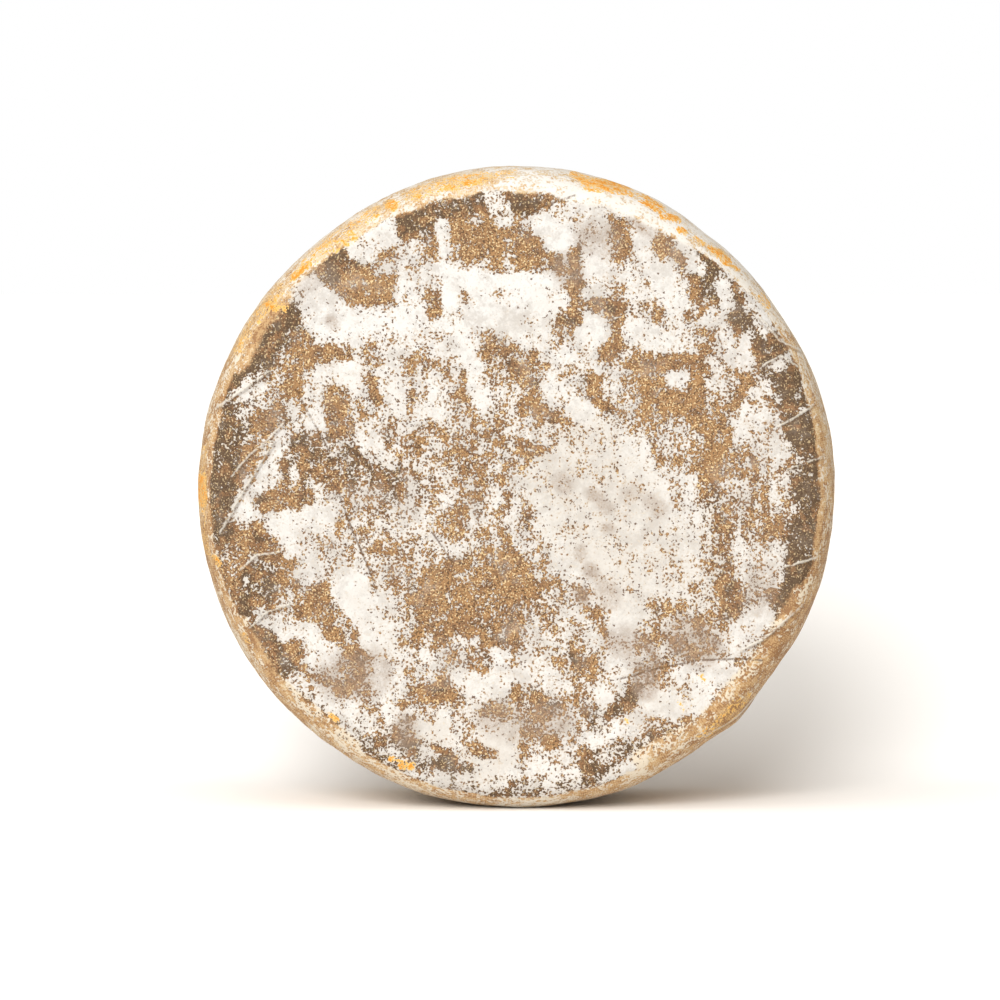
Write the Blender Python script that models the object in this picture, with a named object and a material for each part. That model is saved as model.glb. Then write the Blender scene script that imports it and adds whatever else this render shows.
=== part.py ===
"""A farmhouse cheese wheel: a round, flat-faced wheel of pressed and ripened cheese, one solid piece.

Metres, +Z up. The wheel stands on its rim: its axis runs along Y, the two flat faces look
towards -Y and +Y, and the origin lies on the floor, under the middle of the wheel.
"""

import math

import bmesh
import bpy
from mathutils import Vector

# Driving dimensions, in metres
RIM_RADIUS = 0.1107  # mean radius at the widest part of the rim, halfway between the faces
THICKNESS = 0.070  # from face to face
FACE_RADIUS = 0.1000  # the flat disc in the middle of each face, inside the rounded shoulder
FOOT_DEPTH = 0.0013  # how far the wheel's own weight has flattened the rim where it stands

# Shape of the rim
OUT_OF_ROUND = 0.0045  # share of the radius by which the wheel is taller, and less wide, than round
SIDE_POWER = 3.0  # above 2 the middle of the rim is straighter than an ellipse
SHOULDER_POWER = 2.0  # 2 rounds the shoulder into the face like an ellipse

# Fineness of the mesh
SEGMENTS = 80  # around the rim
SHOULDER_STEPS = 8  # from a face's edge to the middle of the rim
SHARP_EDGE = math.radians(35)  # the foot's outline stays a crisp edge when the rest is smooth

RIND_COLOUR = (0.50, 0.38, 0.26, 1.0)
RIND_ROUGHNESS = 0.85


def clear_scene():
    for old in list(bpy.data.objects):
        bpy.data.objects.remove(old, do_unlink=True)


def rind_material():
    material = bpy.data.materials.new("rind")
    material.use_nodes = True
    shader = material.node_tree.nodes["Principled BSDF"]
    shader.inputs["Base Color"].default_value = RIND_COLOUR
    shader.inputs["Roughness"].default_value = RIND_ROUGHNESS
    shader.inputs["Metallic"].default_value = 0.0
    return material


def half_profile():
    """Points (radius, y) from the edge of the front face to the middle of the rim."""
    depth = RIM_RADIUS - FACE_RADIUS
    points = []
    for step in range(SHOULDER_STEPS + 1):
        angle = 0.5 * math.pi * step / SHOULDER_STEPS
        radius = FACE_RADIUS + depth * math.sin(angle) ** (2.0 / SHOULDER_POWER)
        across = max(math.cos(angle), 0.0) ** (2.0 / SIDE_POWER)
        points.append((radius, -0.5 * THICKNESS * across))
    points[-1] = (RIM_RADIUS, 0.0)
    return points


def turned_body():
    """The whole wheel as a closed mesh turned round the Y axis, with its axis at the origin."""
    front = half_profile()
    back = [(radius, -y) for radius, y in reversed(front[:-1])]
    bm = bmesh.new()
    verts = [bm.verts.new((radius, y, 0.0)) for radius, y in front + back]
    edges = [bm.edges.new(pair) for pair in zip(verts, verts[1:])]
    bmesh.ops.spin(
        bm,
        geom=verts + edges,
        cent=(0.0, 0.0, 0.0),
        axis=(0.0, 1.0, 0.0),
        angle=2.0 * math.pi,
        steps=SEGMENTS,
        use_merge=True,
    )
    bmesh.ops.remove_doubles(bm, verts=bm.verts, dist=1e-6)
    bmesh.ops.holes_fill(bm, edges=[edge for edge in bm.edges if edge.is_boundary])
    return bm


def press_out_of_round(bm):
    """A wheel that ripens on its edge is slightly taller than it is wide."""
    scale = Vector((1.0 - OUT_OF_ROUND, 1.0, 1.0 + OUT_OF_ROUND))
    bmesh.ops.scale(bm, vec=scale, verts=bm.verts)


def flatten_foot(bm):
    """Cuts the flat that the wheel stands on, and returns its distance below the axis."""
    drop = RIM_RADIUS * (1.0 + OUT_OF_ROUND) - FOOT_DEPTH
    cut = bmesh.ops.bisect_plane(
        bm,
        geom=bm.verts[:] + bm.edges[:] + bm.faces[:],
        dist=1e-7,
        plane_co=(0.0, 0.0, -drop),
        plane_no=(0.0, 0.0, -1.0),
        clear_outer=True,
    )
    outline = [item for item in cut["geom_cut"] if isinstance(item, bmesh.types.BMEdge)]
    bmesh.ops.holes_fill(bm, edges=outline)
    return drop


def make_cheese_wheel():
    bm = turned_body()
    press_out_of_round(bm)
    axis_height = flatten_foot(bm)
    bmesh.ops.recalc_face_normals(bm, faces=bm.faces)
    mesh = bpy.data.meshes.new("cheese_wheel")
    bm.to_mesh(mesh)
    bm.free()
    mesh.materials.append(rind_material())
    mesh.shade_smooth()
    mesh.set_sharp_from_angle(angle=SHARP_EDGE)
    wheel = bpy.data.objects.new("cheese_wheel", mesh)
    wheel.location.z = axis_height
    bpy.context.scene.collection.objects.link(wheel)
    return wheel


clear_scene()
make_cheese_wheel()
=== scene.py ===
# %% [markdown]
# # A farmhouse cheese wheel
#
# The real thing is curd that was pressed in a cloth-lined mould and then ripened for months on a
# shelf. Nothing was added afterwards: the brown crust, the white bloom of mould, the ochre rim and
# the creases are all the outside of one solid body. So this lesson makes one piece. First comes a
# good round body, then its dents and folds, then a painter's map of where each growth sits, and
# last a material that turns those maps into a rind.

# %% Load the frame
import math

import bpy
import numpy as np
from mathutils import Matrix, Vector
from mathutils import noise as lattice_noise


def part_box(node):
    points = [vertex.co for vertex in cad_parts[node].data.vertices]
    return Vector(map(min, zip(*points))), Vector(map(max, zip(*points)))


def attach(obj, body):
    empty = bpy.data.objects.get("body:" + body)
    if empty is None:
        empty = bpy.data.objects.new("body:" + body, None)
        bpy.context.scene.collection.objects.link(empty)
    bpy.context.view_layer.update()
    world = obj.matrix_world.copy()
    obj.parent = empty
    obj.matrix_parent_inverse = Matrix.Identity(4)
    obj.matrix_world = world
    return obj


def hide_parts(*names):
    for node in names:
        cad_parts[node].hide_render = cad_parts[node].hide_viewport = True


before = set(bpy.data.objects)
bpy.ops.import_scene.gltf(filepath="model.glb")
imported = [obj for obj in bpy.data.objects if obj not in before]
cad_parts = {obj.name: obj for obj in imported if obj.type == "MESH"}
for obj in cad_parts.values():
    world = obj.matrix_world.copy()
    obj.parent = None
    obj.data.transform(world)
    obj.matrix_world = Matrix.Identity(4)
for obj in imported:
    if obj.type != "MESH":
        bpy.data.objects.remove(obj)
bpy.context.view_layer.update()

MM = 0.001

# %% [markdown]
# ## The sizes that everything hangs on
#
# The wheel stands on its rim, with its axis along Y. The frame says how wide, thick and tall it is.
# Its weight has flattened the rim a little where it stands, so the axis is lower than half of the
# full circle's height. Working from the axis keeps every later step simple: X runs to the right,
# Z runs up, and the show face looks towards -Y.

# %% Sizes from the frame
node_low, node_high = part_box("cheese_wheel")
FOOT_DEPTH = 1.3 * MM
HALF_THICKNESS = (node_high[1] - node_low[1]) / 2
WIDE_RADIUS = (node_high[0] - node_low[0]) / 2
TALL_RADIUS = (node_high[2] - node_low[2] + FOOT_DEPTH) / 2
AXIS_HEIGHT = node_high[2] - TALL_RADIUS
FACE_RADIUS = 100 * MM
print(f"radius {WIDE_RADIUS:.4f} wide and {TALL_RADIUS:.4f} tall, axis at {AXIS_HEIGHT:.4f}")

# %% [markdown]
# ## The camera
#
# A long lens from a metre and a half away, almost level with the middle of the wheel, shows the
# face nearly flat with only a thin band of rim round it. The lens is worked out from how much of
# the frame's width the wheel should fill, and a very small shift sets the wheel a touch right of
# the middle and above it.

# %% Camera
CAMERA_DISTANCE = 1.5
CAMERA_LIFT = math.radians(2.6)
WHEEL_SHARE_OF_WIDTH = 0.632
FRAMING_SHIFT = (-0.016, -0.014)

camera_data = bpy.data.cameras.new("camera")
camera = bpy.data.objects.new("camera", camera_data)
bpy.context.scene.collection.objects.link(camera)
wheel_middle = Vector((0.0, 0.0, AXIS_HEIGHT))
camera_back = Vector((0.0, -math.cos(CAMERA_LIFT), math.sin(CAMERA_LIFT)))
camera.location = wheel_middle + CAMERA_DISTANCE * camera_back
camera.rotation_mode = "QUATERNION"
camera.rotation_quaternion = (-camera_back).to_track_quat("-Z", "Y")
camera_data.lens = (
    camera_data.sensor_width * CAMERA_DISTANCE * WHEEL_SHARE_OF_WIDTH / (2 * WIDE_RADIUS)
)
camera_data.shift_x, camera_data.shift_y = FRAMING_SHIFT
bpy.context.scene.camera = camera
print(f"lens {camera_data.lens:.1f} mm")

# %% [markdown]
# ## The light and the floor
#
# A white sweep and a bright white room give soft light from all sides. A large soft sun in front, a
# little to the left, lights the face and lays a faint shadow behind and to the right, and a second
# one from above whitens the floor and darkens the gap under the wheel. The room's brightness is one
# number for the wheel and another for the eye, so that the background stays white without washing
# out the rind. The room and the floor are a little warm, so that the shadows aren't grey.

# %% Light
ROOM_LIGHT = 0.40
ROOM_LIGHT_COLOUR = (1.0, 0.93, 0.84, 1.0)
ROOM_SEEN = 1.0
ROOM_SEEN_COLOUR = (1.0, 1.0, 1.0, 1.0)
SUN_COLOUR = (1.0, 1.0, 0.995)
# Each light: strength, softness in degrees, and the direction that it comes from
SUNS = {
    "key": (2.4, 32.0, (-0.30, -1.0, 0.55)),
    "overhead": (1.5, 58.0, (-0.24, -0.45, 1.0)),
}

bpy.context.scene.view_settings.view_transform = "Standard"

world = bpy.data.worlds.new("white_room")
bpy.context.scene.world = world
world.use_nodes = True
room_nodes, room_links = world.node_tree.nodes, world.node_tree.links
room_nodes.clear()
room_rays = room_nodes.new("ShaderNodeLightPath")
room_light = room_nodes.new("ShaderNodeBackground")
room_light.inputs["Strength"].default_value = ROOM_LIGHT
room_light.inputs["Color"].default_value = ROOM_LIGHT_COLOUR
room_seen = room_nodes.new("ShaderNodeBackground")
room_seen.inputs["Strength"].default_value = ROOM_SEEN
room_seen.inputs["Color"].default_value = ROOM_SEEN_COLOUR
room_mix = room_nodes.new("ShaderNodeMixShader")
room_out = room_nodes.new("ShaderNodeOutputWorld")
room_links.new(room_rays.outputs["Is Camera Ray"], room_mix.inputs[0])
room_links.new(room_light.outputs[0], room_mix.inputs[1])
room_links.new(room_seen.outputs[0], room_mix.inputs[2])
room_links.new(room_mix.outputs[0], room_out.inputs[0])

for name, (strength, softness, comes_from) in SUNS.items():
    sun_data = bpy.data.lights.new(name, "SUN")
    sun_data.energy = strength
    sun_data.angle = math.radians(softness)
    sun_data.color = SUN_COLOUR
    sun = bpy.data.objects.new(name, sun_data)
    sun.rotation_mode = "QUATERNION"
    sun.rotation_quaternion = Vector(comes_from).to_track_quat("Z", "Y")
    bpy.context.scene.collection.objects.link(sun)
print("suns:", ", ".join(SUNS))

# %% Floor
FLOOR_COLOUR = (0.965, 0.95, 0.93, 1.0)
FLOOR_SIZE = 60.0
SWEEP_STARTS = 0.045
SWEEP_SLOPE = math.radians(17)
# The sweep's slope, as a share of its steepest, and how far it runs at that slope
SWEEP_STEPS = [
    (0.2, 0.015), (0.5, 0.015), (0.8, 0.015), (1.0, 0.33), (0.8, 0.04), (0.5, 0.04), (0.2, 0.04),
    (0.0, FLOOR_SIZE),
]

bpy.ops.object.select_all(action="DESELECT")
bpy.ops.mesh.primitive_plane_add(
    size=FLOOR_SIZE, location=(0.0, SWEEP_STARTS - FLOOR_SIZE / 2, 0.0)
)
floor = bpy.context.object
floor.name = "floor"
for vertex in floor.data.vertices:
    vertex.select = vertex.co.y > 0
for edge in floor.data.edges:
    edge.select = all(floor.data.vertices[end].select for end in edge.vertices)
for face in floor.data.polygons:
    face.select = False
bpy.ops.object.mode_set(mode="EDIT")
for share, run in SWEEP_STEPS:
    slope = share * SWEEP_SLOPE
    step_back = (0.0, run * math.cos(slope), run * math.sin(slope))
    bpy.ops.mesh.extrude_region_move(TRANSFORM_OT_translate={"value": step_back})
bpy.ops.object.mode_set(mode="OBJECT")
bpy.ops.object.shade_smooth()
floor_paint = bpy.data.materials.new("white_sweep")
floor_paint.use_nodes = True
floor_shader = floor_paint.node_tree.nodes["Principled BSDF"]
floor_shader.inputs["Base Color"].default_value = FLOOR_COLOUR
floor_shader.inputs["Roughness"].default_value = 0.9
floor_shader.inputs["Specular IOR Level"].default_value = 0.1
floor.data.materials.append(floor_paint)
print("a floor and sweep of", len(floor.data.polygons), "strips")

# %% [markdown]
# ## The body of the wheel
#
# A pressed wheel is a round slab with flat faces, a softly rounded shoulder and a rim that bulges a
# little. It could be a cylinder with a bevel, but a cylinder's face is one big polygon that can't
# take dents. So the face starts as a circle filled with a grid of quads. That disc is then
# extruded backwards in short steps and scaled at each step, which draws the shoulder and the rim,
# and the last step leaves the same disc as the back face. A subdivision surface makes it fine and
# smooth enough to sculpt.

# %% Extrude the body along its profile
RIM_POINTS = 80
GRID_SPAN = 20
PROFILE_STEPS = 4
SIDE_POWER = 3.0
SHOULDER_POWER = 2.0
FINENESS = 3


def profile_point(turn):
    """Radius and depth on the section, for a turn of 0 at a face's edge to 1 at the middle of the rim."""
    angle = 0.5 * math.pi * turn
    radius = FACE_RADIUS + (WIDE_RADIUS - FACE_RADIUS) * math.sin(angle) ** (2 / SHOULDER_POWER)
    depth = HALF_THICKNESS * max(math.cos(angle), 0.0) ** (2 / SIDE_POWER)
    return radius, depth


front_half = [profile_point(step / PROFILE_STEPS) for step in range(PROFILE_STEPS + 1)]
section = [(radius, -depth) for radius, depth in front_half]
section += [(radius, depth) for radius, depth in reversed(front_half[:-1])]

bpy.ops.object.select_all(action="DESELECT")
bpy.ops.mesh.primitive_circle_add(
    vertices=RIM_POINTS,
    radius=FACE_RADIUS,
    fill_type="NOTHING",
    location=(0.0, -HALF_THICKNESS, AXIS_HEIGHT),
    rotation=(math.radians(90), 0.0, 0.0),
)
wheel = bpy.context.object
wheel.name = "cheese_wheel_rind"
bpy.ops.object.mode_set(mode="EDIT")
bpy.ops.mesh.select_all(action="SELECT")
bpy.ops.mesh.fill_grid(span=GRID_SPAN)
for (radius, y), (next_radius, next_y) in zip(section, section[1:]):
    bpy.ops.mesh.extrude_region_move(TRANSFORM_OT_translate={"value": (0.0, next_y - y, 0.0)})
    grow = next_radius / radius
    bpy.ops.transform.resize(value=(grow, 1.0, grow), center_override=(0.0, next_y, AXIS_HEIGHT))
bpy.ops.mesh.select_all(action="SELECT")
bpy.ops.mesh.normals_make_consistent(inside=False)
bpy.ops.object.mode_set(mode="OBJECT")

smoother = wheel.modifiers.new("smoother", "SUBSURF")
smoother.levels = FINENESS
smoother.render_levels = FINENESS
bpy.ops.object.modifier_apply(modifier=smoother.name)
bpy.ops.object.transform_apply(location=True, rotation=True, scale=True)
bpy.ops.object.shade_smooth()
print(len(wheel.data.polygons), "quads in the body")

# %% [markdown]
# ## Making room for the real shape
#
# From here on the vertices are moved in numpy, which is sculpting by formula. Smoothing has drawn
# the wheel in by a fraction of a millimetre, so it is first stretched back to the frame's width and
# thickness. A real wheel also ripens slightly taller than it is wide.

# %% Read the vertices and fit them to the frame
def read_points(mesh):
    points = np.empty(len(mesh.vertices) * 3, np.float32)
    mesh.vertices.foreach_get("co", points)
    return points.reshape(-1, 3).astype(float)


def write_points(mesh, points):
    mesh.vertices.foreach_set("co", points.astype(np.float32).ravel())
    mesh.update()


points = read_points(wheel.data) - (0.0, 0.0, AXIS_HEIGHT)
stretch = np.array([WIDE_RADIUS, HALF_THICKNESS, TALL_RADIUS]) / np.abs(points).max(axis=0)
points *= stretch
print("stretched by", np.round(stretch, 4))

# %% [markdown]
# ## Helpers for sculpting and painting
#
# Dents, folds and patches of mould are all put on with one round brush. A stroke is a value, the
# brush's half width, and the points that the brush follows, in millimetres from the middle of the
# face, with X to the right and Z up. The brush is full in its middle and fades out past its edge.
# Later strokes cover earlier ones, as paint does.

# %% The brush
FULL_UNTIL = 0.55
GONE_AT = 1.45


def smooth_step(low, high, value):
    t = np.clip((value - low) / (high - low), 0.0, 1.0)
    return t * t * (3.0 - 2.0 * t)


def distance_to_path(path, x, z):
    """Distance of every (x, z) from a line through the path's points."""
    nearest = np.full(len(x), np.inf)
    for (ax, az), (bx, bz) in zip(path, path[1:] or path):
        along_x, along_z = bx - ax, bz - az
        length = along_x**2 + along_z**2
        share = np.zeros(len(x))
        if length > 0:
            share = np.clip(((x - ax) * along_x + (z - az) * along_z) / length, 0.0, 1.0)
        nearest = np.minimum(nearest, np.hypot(x - ax - share * along_x, z - az - share * along_z))
    return nearest


def brush(path, half_width, x, z):
    return 1.0 - smooth_step(FULL_UNTIL, GONE_AT, distance_to_path(path, x, z) / half_width)


def paint(start, strokes, x, z):
    """A layer over the whole face: the starting value, covered by each stroke in turn."""
    layer = np.full(len(x), float(start))
    for value, half_width, *path in strokes:
        cover = brush(path, half_width, x, z)
        layer += (value - layer) * cover
    return layer


def cloud(positions, size, octaves=3, seed=0.0):
    """Soft random swells about -1 to 1, with bumps of that size."""
    shift = Vector((seed, -seed, 2.0 * seed))
    scaled = positions / size
    return np.array([lattice_noise.fractal(Vector(p) + shift, 1.0, 2.0, octaves) for p in scaled])


print(f"a stroke is full to {FULL_UNTIL} and gone at {GONE_AT} of its half width")

# %% [markdown]
# ## Dents, folds and swells
#
# No wheel is a true disc. Its faces swell a little, its shoulder is lumpy, and the cloth it was
# pressed in has left folds: thin raised ridges that run in from the rim, and a soft valley at the
# lower right. The outline has flats too, where the wheel lay against a board. Noise makes what has
# no fixed place, and strokes of the brush make what has one. All of these are only a millimetre or
# so, but they catch the light and keep the outline from looking turned.

# %% Places of flats, folds and dents
# Angle round the face in degrees (0 right, 90 up), half width in degrees, height in mm
OUTLINE_FLATS = [
    (150, 16, -0.7), (127, 17, -1.4), (100, 12, 0.25), (64, 12, -0.2), (53, 8, -1.0), (36, 10, -0.9),
    (8, 12, 0.1), (-22, 9, 0.5), (-35, 5, -0.4), (-46, 4, 1.1), (-56, 7, -0.5), (-72, 8, 0.2),
    (-128, 12, -0.5), (-160, 10, 0.3),
]

# Height in mm, half width in mm, then points in mm
FRONT_RELIEF = [
    (0.55, 1.3, (-101, 29), (-92, 35), (-84, 40)),
    (0.45, 1.2, (-98, 8), (-90, 14)),
    (0.70, 1.4, (-101, -12), (-95, -2), (-89, 8), (-82, 18)),
    (0.50, 1.2, (-97, -30), (-92, -26), (-87, -25)),
    (0.50, 1.3, (-91, -45), (-86, -41), (-82, -40)),
    (0.60, 1.3, (91, 24), (95, 27), (99, 28)),
    (0.60, 1.3, (94, 9), (98, 10.5), (103, 11)),
    (0.55, 1.6, (81, -52), (88, -47), (94, -43)),
    (0.35, 1.2, (88, -22), (94, -21)),
    (0.40, 1.4, (-12, 92), (-2, 95), (8, 98)),
    (-0.45, 1.3, (3, 93), (10, 97), (19, 100)),
    (-0.30, 1.1, (-74, 33), (-70, 25), (-66, 18)),
    (-0.40, 1.1, (-60, -2), (-56, -13), (-50, -27)),
    (-0.35, 1.2, (37, -64), (48, -61), (62, -58), (78, -57.5)),
    (-0.80, 4.5, (47, -61), (44, -68), (36, -75), (26, -79)),
    (-0.35, 5.0, (55, -50), (64, -54)),
    (-0.35, 2.5, (-36, 18), (-30, 12)),
    (0.35, 6.0, (36, -42)),
    (0.30, 7.0, (-52, -38), (-50, -48)),
    (0.30, 6.0, (-17, -64), (-6, -66)),
    (0.30, 6.0, (10, 88)),
    (0.30, 6.0, (-46, 87)),
    (0.30, 9.0, (-20, 68), (-6, 68)),
]
print(len(OUTLINE_FLATS), "flats and", len(FRONT_RELIEF), "folds and dents")

# %% Sculpt the body
FACE_SWELL = 0.35 * MM
LUMP_HEIGHT = 0.22 * MM
GRAIN_HEIGHT = 0.07 * MM
SHOULDER_FROM = 96 * MM

x, y, z = points.T
face_x, face_z = x / MM, z / MM
radius = np.hypot(x, z)
angle = np.degrees(np.arctan2(z, x))
towards_rim = smooth_step(SHOULDER_FROM, WIDE_RADIUS, radius)
on_front = smooth_step(0.15, 0.7, -y / HALF_THICKNESS)

outline = np.zeros(len(x))
for where, spread, height in OUTLINE_FLATS:
    away = (angle - where + 180.0) % 360.0 - 180.0
    outline += height * MM * np.exp(-((away / spread) ** 2))

swell = cloud(points, 55 * MM, octaves=2, seed=3.1)
lumps = cloud(points, 14 * MM, octaves=3, seed=7.7)
grains = cloud(points, 3.2 * MM, octaves=2, seed=1.9)
relief = FACE_SWELL * swell + LUMP_HEIGHT * lumps * (0.5 + towards_rim) + GRAIN_HEIGHT * grains
for height, half_width, *path in FRONT_RELIEF:
    relief += height * MM * on_front * brush(path, half_width, face_x, face_z)

across = np.stack([x / radius.clip(1e-6), np.zeros(len(x)), z / radius.clip(1e-6)], axis=1)
normals = np.empty(len(x) * 3, np.float32)
write_points(wheel.data, points)
wheel.data.vertices.foreach_get("normal", normals)
points = points + relief[:, None] * normals.reshape(-1, 3)
points = points + (outline * towards_rim)[:, None] * across
points[:, 2] = np.maximum(points[:, 2], -AXIS_HEIGHT)
write_points(wheel.data, points + (0.0, 0.0, AXIS_HEIGHT))
print(f"relief from {relief.min() / MM:.2f} to {relief.max() / MM:.2f} mm")

# %% [markdown]
# ## A map of the bloom
#
# The white on the face is a felt of mould. Where it has grown thick it is pure white, where the
# crust was rubbed or too dry there is none, and in between it breaks into countless specks. A
# random pattern alone would look like marble, so its places are painted one by one: each stroke says
# what share of the crust is covered, from 0 for bare crust to 1 for closed felt. The fine broken
# edge comes later, from the material.

# %% Bloom in the middle
BLOOM_START = 0.5
BLOOM_MIDDLE = [
    (0.90, 11.0, (28, 10), (42, 6)),
    (0.93, 14.0, (20, -2), (34, -8), (48, -12)),
    (0.80, 9.0, (52, -4), (58, -10)),
    (0.90, 10.0, (18, -18), (30, -26), (42, -32)),
    (0.75, 8.0, (56, -22), (60, -32)),
    (1.15, 5.5, (36, -41), (36, -44)),
]
print(len(BLOOM_MIDDLE), "strokes")

# %% Bloom at the upper left
BLOOM_UPPER_LEFT = [
    (0.06, 6.0, (-104, -10), (-102, 8), (-98, 24), (-92, 38)),
    (0.06, 7.0, (-92, 44), (-83, 55), (-76, 62)),
    (0.06, 5.0, (-74, 34), (-74, 48), (-76, 60)),
    (0.10, 5.0, (-70, 72), (-62, 76), (-50, 79)),
    (0.08, 6.0, (-56, 70), (-44, 66)),
    (0.07, 6.0, (-40, 90), (-28, 96), (-16, 97)),
    (0.07, 5.0, (-12, 101), (4, 99), (10, 97)),
    (0.05, 7.0, (-20, 84), (-6, 85)),
    (0.10, 4.0, (-22, 76), (-14, 77)),
    (0.15, 2.5, (-37, 72), (-31, 71)),
    (1.15, 5.8, (-48, 91), (-46, 85)),
    (0.98, 3.0, (-51, 92), (-44, 94)),
    (0.95, 2.6, (-25, 90), (-24, 82)),
    (0.85, 3.2, (-34, 82), (-33, 76)),
    (0.97, 3.8, (-7, 99), (-5, 93)),
    (1.15, 6.5, (-26, 72), (-14, 69), (-2, 72)),
    (1.15, 7.0, (-22, 62), (-8, 64), (0, 68)),
    (0.97, 5.6, (-71, 68), (-64, 62)),
    (0.98, 6.0, (-67, 60), (-58, 55), (-46, 56), (-36, 58)),
    (0.90, 3.5, (-36, 77), (-38, 66), (-34, 60)),
    (0.12, 2.5, (-28, 68), (-27, 60)),
    (0.40, 2.5, (-18, 66), (-17, 64)),
    (0.95, 5.0, (-20, 58), (-16, 48), (-16, 40)),
    (0.93, 3.0, (-12, 36), (-13, 24)),
    (0.92, 4.5, (-68, 38), (-67, 24)),
    (0.90, 4.0, (-57, 42), (-54, 35)),
    (0.90, 4.0, (-44, 40), (-41, 30)),
    (0.92, 5.0, (-32, 38), (-29, 27)),
    (0.15, 1.8, (-70, 48), (-57, 46)),
    (0.45, 2.0, (-48, 43), (-44, 45)),
    (0.50, 2.5, (-37, 46), (-31, 45)),
    (0.12, 4.5, (-61, 31), (-59, 16)),
    (0.15, 1.6, (-49, 38), (-47, 24)),
    (0.30, 1.4, (-36, 38), (-35, 31)),
    (0.20, 1.4, (-18, 41), (-18, 31)),
    (0.25, 4.5, (-9, 48), (-3, 46)),
]
print(len(BLOOM_UPPER_LEFT), "strokes")

# %% Bloom at the upper right
BLOOM_UPPER_RIGHT = [
    (1.15, 5.6, (11, 89), (14, 86)),
    (0.85, 4.0, (20, 97), (30, 98)),
    (0.90, 3.0, (35, 97), (45, 95)),
    (0.75, 5.0, (26, 90), (28, 86)),
    (0.12, 4.5, (0, 85), (5, 83)),
    (0.15, 3.5, (-2, 78), (14, 78)),
    (1.15, 7.0, (2, 73), (6, 66), (2, 58)),
    (0.95, 4.0, (13, 70), (14, 62)),
    (0.12, 3.0, (21, 79), (21, 68)),
    (0.30, 2.5, (22, 66), (21, 60)),
    (0.15, 2.6, (16, 59), (23, 57)),
    (0.95, 4.5, (28, 79), (28, 68)),
    (0.15, 3.5, (36, 89), (37, 82)),
    (0.92, 4.0, (44, 86), (46, 77)),
    (0.85, 4.0, (38, 74), (41, 68)),
    (0.12, 3.5, (50, 83), (56, 80)),
    (0.97, 5.5, (51, 73), (54, 65)),
    (0.10, 4.5, (62, 79), (66, 72)),
    (0.15, 4.5, (63, 68), (68, 66)),
    (0.10, 3.0, (35, 62), (34, 52), (33, 46)),
    (0.15, 3.0, (27, 63), (34, 60)),
    (1.15, 5.0, (27, 55), (26, 53)),
    (0.90, 5.0, (8, 52), (4, 58)),
    (0.95, 4.5, (40, 54), (47, 53)),
    (0.95, 5.0, (56, 52), (52, 48)),
    (0.25, 3.5, (50, 59), (56, 57)),
    (0.10, 4.0, (77, 62), (76, 55)),
    (0.80, 5.0, (67, 56), (72, 49)),
    (0.90, 4.5, (66, 38), (74, 44), (79, 50)),
    (0.10, 3.5, (42, 42), (52, 43), (64, 43)),
    (0.06, 8.0, (44, 34), (52, 30)),
    (0.06, 6.0, (60, 32), (66, 36)),
    (0.06, 8.0, (62, 22), (66, 12)),
    (0.92, 3.2, (54, 38), (56, 38)),
    (0.10, 3.0, (74, 26), (77, 37)),
    (0.90, 5.5, (87, 34), (80, 24), (74, 18)),
    (0.72, 5.0, (76, 12), (84, 10)),
    (0.05, 5.5, (86, 50), (92, 38), (96, 28), (99, 14), (100, 0), (98, -18), (97, -34), (91, -44)),
    (0.65, 4.0, (90, 14), (90, 2), (92, -6)),
    (0.12, 2.2, (27, 38), (27, 30)),
    (0.20, 2.5, (30, 28), (33, 28)),
    (0.90, 4.0, (22, 27), (25, 26)),
    (0.92, 4.5, (12, 38), (13, 35)),
    (0.85, 4.0, (16, 45), (20, 42)),
    (0.10, 4.5, (4, 27), (8, 25)),
    (0.15, 4.0, (2, 16), (4, 15)),
    (0.25, 5.0, (2, 44), (6, 42)),
]
print(len(BLOOM_UPPER_RIGHT), "strokes")

# %% Bloom at the left
BLOOM_LEFT = [
    (0.88, 3.2, (-94, 31), (-84, 38)),
    (0.70, 3.5, (-92, 27), (-86, 28)),
    (0.12, 4.0, (-87, 23), (-80, 26)),
    (0.97, 3.4, (-82, 6), (-79, 17)),
    (0.90, 2.4, (-77, 15), (-77, 4)),
    (0.10, 3.0, (-80, 8), (-80, 0)),
    (0.20, 6.0, (-72, 14), (-66, 8)),
    (0.95, 3.5, (-51, 18), (-46, 11)),
    (0.46, 8.0, (-54, 2), (-32, 8)),
    (0.45, 10.0, (-20, 12), (-8, 14)),
    (0.97, 4.6, (-94, -9), (-88, -3), (-84, 5)),
    (0.08, 2.8, (-103, -10), (-97, 2), (-90, 14)),
    (0.08, 3.5, (-86, -4), (-72, -3)),
    (0.95, 5.0, (-80, -12), (-66, -10)),
    (0.90, 5.0, (-76, -20), (-70, -14)),
    (0.06, 8.0, (-101, -20), (-91, -19)),
    (0.07, 6.0, (-101, -32), (-95, -38), (-89, -50)),
    (0.90, 1.8, (-97, -28), (-90, -24), (-84, -27)),
    (0.30, 6.0, (-85, -36), (-80, -28)),
    (0.80, 4.0, (-71, -30), (-67, -24)),
    (0.12, 2.8, (-69, -35), (-67, -35)),
    (0.65, 6.0, (-62, -24), (-55, -14)),
    (1.15, 8.0, (-54, -36), (-50, -44)),
    (0.97, 6.0, (-49, -50), (-45, -58)),
    (0.55, 5.0, (-47, -24), (-42, -20)),
    (0.06, 5.0, (-69, -42), (-62, -50)),
    (0.85, 4.0, (-86, -43), (-77, -48), (-70, -49)),
    (0.08, 3.0, (-87, -50), (-85, -50)),
    (0.08, 5.0, (-84, -58), (-75, -56)),
    (0.90, 5.0, (-67, -55), (-64, -56)),
    (0.35, 6.0, (-62, -66), (-54, -60)),
    (0.85, 3.0, (-73, -67), (-66, -70)),
    (0.85, 4.0, (-60, -74), (-55, -75)),
]
print(len(BLOOM_LEFT), "strokes")

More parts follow.
